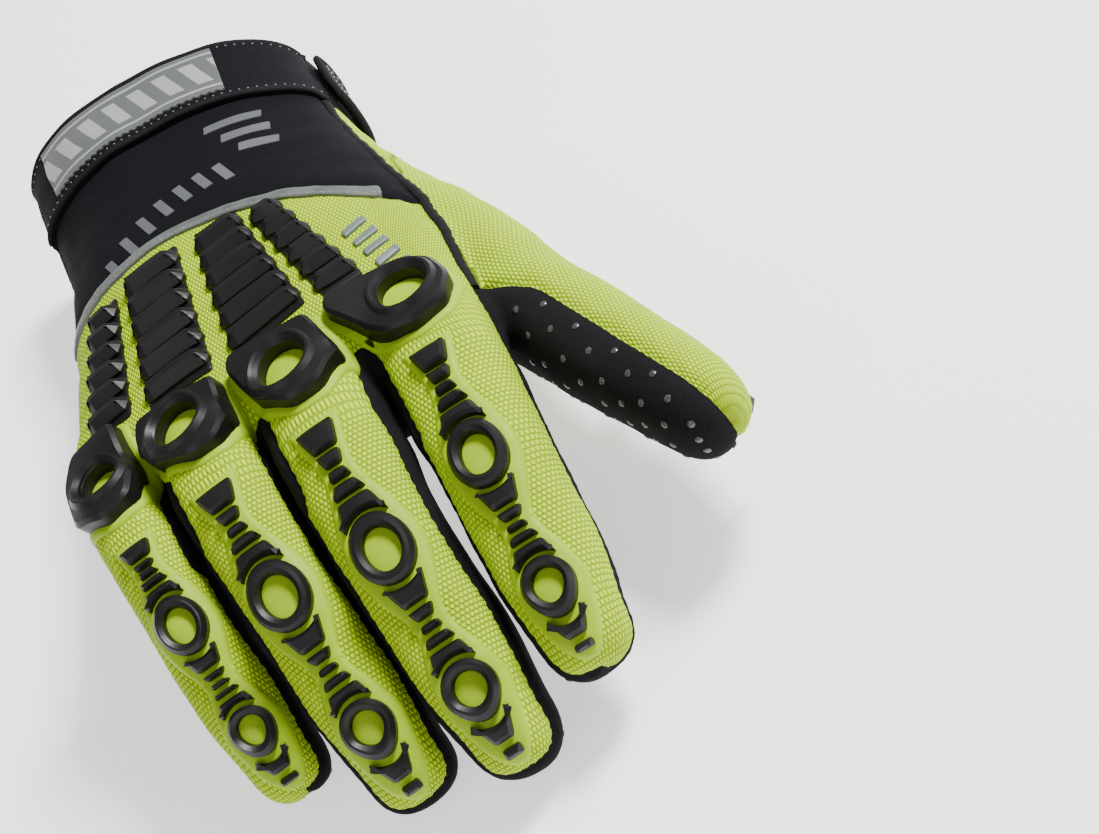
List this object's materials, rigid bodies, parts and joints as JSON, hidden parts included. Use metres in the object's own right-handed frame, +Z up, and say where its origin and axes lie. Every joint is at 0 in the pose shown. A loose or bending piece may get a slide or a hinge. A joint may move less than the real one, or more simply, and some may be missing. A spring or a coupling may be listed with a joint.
{
  "type": "cut resistant glove",
  "caption": "Right-hand work glove with a lime knit back, moulded impact guards over the knuckles and fingers, a dotted suede palm and a neoprene cuff with a hook-and-loop strap.",
  "frame": {"origin": "centre of the bounding box, on the surface that the glove rests on", "axes": "+Z up from the palm to the back of the hand, +Y towards the fingertips, thumb on the -X side"},
  "size_m": [0.1466, 0.2396, 0.0634],
  "materials": {
    "lime_knit": "matte coarse knit",
    "palm_suede": "matte napped suede",
    "neoprene": "matte jersey over foam",
    "guard_rubber": "satin moulded rubber",
    "reflective_tape": "fine glass-bead sheen",
    "woven_label": "matte woven"
  },
  "bodies": {
    "hand": {"back_panel": "lime_knit", "palm_panel": "palm_suede", "thumb_gusset": "lime_knit", "cuff_back": "neoprene", "cuff_palm": "neoprene", "wrist_strap": "neoprene", "strap_label": "woven_label", "reflective_piping": "reflective_tape", "rib_pad_index": "guard_rubber", "rib_pad_middle": "guard_rubber", "rib_pad_ring": "guard_rubber", "rib_pad_pinky": "guard_rubber", "knuckle_guard_index": "guard_rubber", "knuckle_guard_middle": "guard_rubber", "knuckle_guard_ring": "guard_rubber", "knuckle_guard_pinky": "guard_rubber"},
    "index_proximal": {"index_1_back": "lime_knit", "index_1_palm": "palm_suede", "index_1_guard": "guard_rubber"},
    "index_middle": {"index_2_back": "lime_knit", "index_2_palm": "palm_suede", "index_2_guard": "guard_rubber"},
    "index_distal": {"index_3_back": "lime_knit", "index_3_palm": "palm_suede", "index_3_guard": "guard_rubber"},
    "middle_proximal": {"middle_1_back": "lime_knit", "middle_1_palm": "palm_suede", "middle_1_guard": "guard_rubber"},
    "middle_middle": {"middle_2_back": "lime_knit", "middle_2_palm": "palm_suede", "middle_2_guard": "guard_rubber"},
    "middle_distal": {"middle_3_back": "lime_knit", "middle_3_palm": "palm_suede", "middle_3_guard": "guard_rubber"},
    "ring_proximal": {"ring_1_back": "lime_knit", "ring_1_palm": "palm_suede", "ring_1_guard": "guard_rubber"},
    "ring_middle": {"ring_2_back": "lime_knit", "ring_2_palm": "palm_suede", "ring_2_guard": "guard_rubber"},
    "ring_distal": {"ring_3_back": "lime_knit", "ring_3_palm": "palm_suede", "ring_3_guard": "guard_rubber"},
    "pinky_proximal": {"pinky_1_back": "lime_knit", "pinky_1_palm": "palm_suede", "pinky_1_guard": "guard_rubber"},
    "pinky_middle": {"pinky_2_back": "lime_knit", "pinky_2_palm": "palm_suede", "pinky_2_guard": "guard_rubber"},
    "pinky_distal": {"pinky_3_back": "lime_knit", "pinky_3_palm": "palm_suede", "pinky_3_guard": "guard_rubber"},
    "thumb_proximal": {"thumb_1_back": "lime_knit", "thumb_1_palm": "palm_suede", "thumb_1_guard": "guard_rubber"},
    "thumb_distal": {"thumb_2_back": "lime_knit", "thumb_2_palm": "palm_suede", "thumb_2_guard": "guard_rubber"},
    "closure_tab": {"strap_tab": "neoprene"}
  },
  "joints": [
    {"name": "index_knuckle", "type": "hinge", "parent": "hand", "child": "index_proximal", "pos_m": [-0.01686, 0.03678, 0.0399], "axis": [-0.9986, 0.0522, 0.0038], "range_deg": [-18, 57]},
    {"name": "index_middle_joint", "type": "hinge", "parent": "index_proximal", "child": "index_middle", "pos_m": [-0.01534, 0.06636, 0.03262], "axis": [-0.9986, 0.0522, 0.0038], "range_deg": [-10, 80]},
    {"name": "index_end_joint", "type": "hinge", "parent": "index_middle", "child": "index_distal", "pos_m": [-0.01393, 0.09423, 0.02031], "axis": [-0.9986, 0.0522, 0.0038], "range_deg": [-5.5, 44]},
    {"name": "middle_knuckle", "type": "hinge", "parent": "hand", "child": "middle_proximal", "pos_m": [0.01251, 0.03855, 0.04338], "axis": [-0.9999, -0.0104, -0.0008], "range_deg": [-25, 50]},
    {"name": "middle_middle_joint", "type": "hinge", "parent": "middle_proximal", "child": "middle_middle", "pos_m": [0.0122, 0.06986, 0.03148], "axis": [-0.9999, -0.0104, -0.0008], "range_deg": [-10, 80]},
    {"name": "middle_end_joint", "type": "hinge", "parent": "middle_middle", "child": "middle_distal", "pos_m": [0.01191, 0.0982, 0.01458], "axis": [-0.9999, -0.0104, -0.0008], "range_deg": [-5.5, 44]},
    {"name": "ring_knuckle", "type": "hinge", "parent": "hand", "child": "ring_proximal", "pos_m": [0.03893, 0.03454, 0.04311], "axis": [-0.9988, -0.0487, -0.0036], "range_deg": [-29, 46]},
    {"name": "ring_middle_joint", "type": "hinge", "parent": "ring_proximal", "child": "ring_middle", "pos_m": [0.03765, 0.06174, 0.03053], "axis": [-0.9988, -0.0487, -0.0036], "range_deg": [-10, 80]},
    {"name": "ring_end_joint", "type": "hinge", "parent": "ring_middle", "child": "ring_distal", "pos_m": [0.03643, 0.08799, 0.01226], "axis": [-0.9988, -0.0487, -0.0036], "range_deg": [-5.5, 44]},
    {"name": "pinky_knuckle", "type": "hinge", "parent": "hand", "child": "pinky_proximal", "pos_m": [0.06189, 0.03081, 0.03927], "axis": [-0.9986, -0.0522, -0.0038], "range_deg": [-30, 45]},
    {"name": "pinky_middle_joint", "type": "hinge", "parent": "pinky_proximal", "child": "pinky_middle", "pos_m": [0.06087, 0.05104, 0.02947], "axis": [-0.9986, -0.0522, -0.0038], "range_deg": [-10, 80]},
    {"name": "pinky_end_joint", "type": "hinge", "parent": "pinky_middle", "child": "pinky_distal", "pos_m": [0.05985, 0.0717, 0.01455], "axis": [-0.9986, -0.0522, -0.0038], "range_deg": [-5.5, 44]},
    {"name": "thumb_base", "type": "hinge", "parent": "hand", "child": "thumb_proximal", "pos_m": [-0.03531, 0.03027, 0.02113], "axis": [-0.8852, -0.3247, -0.3333], "range_deg": [-6, 35]},
    {"name": "thumb_end_joint", "type": "hinge", "parent": "thumb_proximal", "child": "thumb_distal", "pos_m": [-0.0501, 0.06034, 0.0311], "axis": [0.3069, 0.131, -0.9427], "range_deg": [0, 38]},
    {"name": "strap_tab_peel", "type": "hinge", "parent": "hand", "child": "closure_tab", "pos_m": [-0.01959, -0.0902, 0.03043], "axis": [0, 0.9973, 0.0732], "range_deg": [0, 110]}
  ],
  "couplings": [
    {"joint": "index_end_joint", "follows": "index_middle_joint", "ratio": 0.55},
    {"joint": "middle_end_joint", "follows": "middle_middle_joint", "ratio": 0.55},
    {"joint": "ring_end_joint", "follows": "ring_middle_joint", "ratio": 0.55},
    {"joint": "pinky_end_joint", "follows": "pinky_middle_joint", "ratio": 0.55}
  ]
}
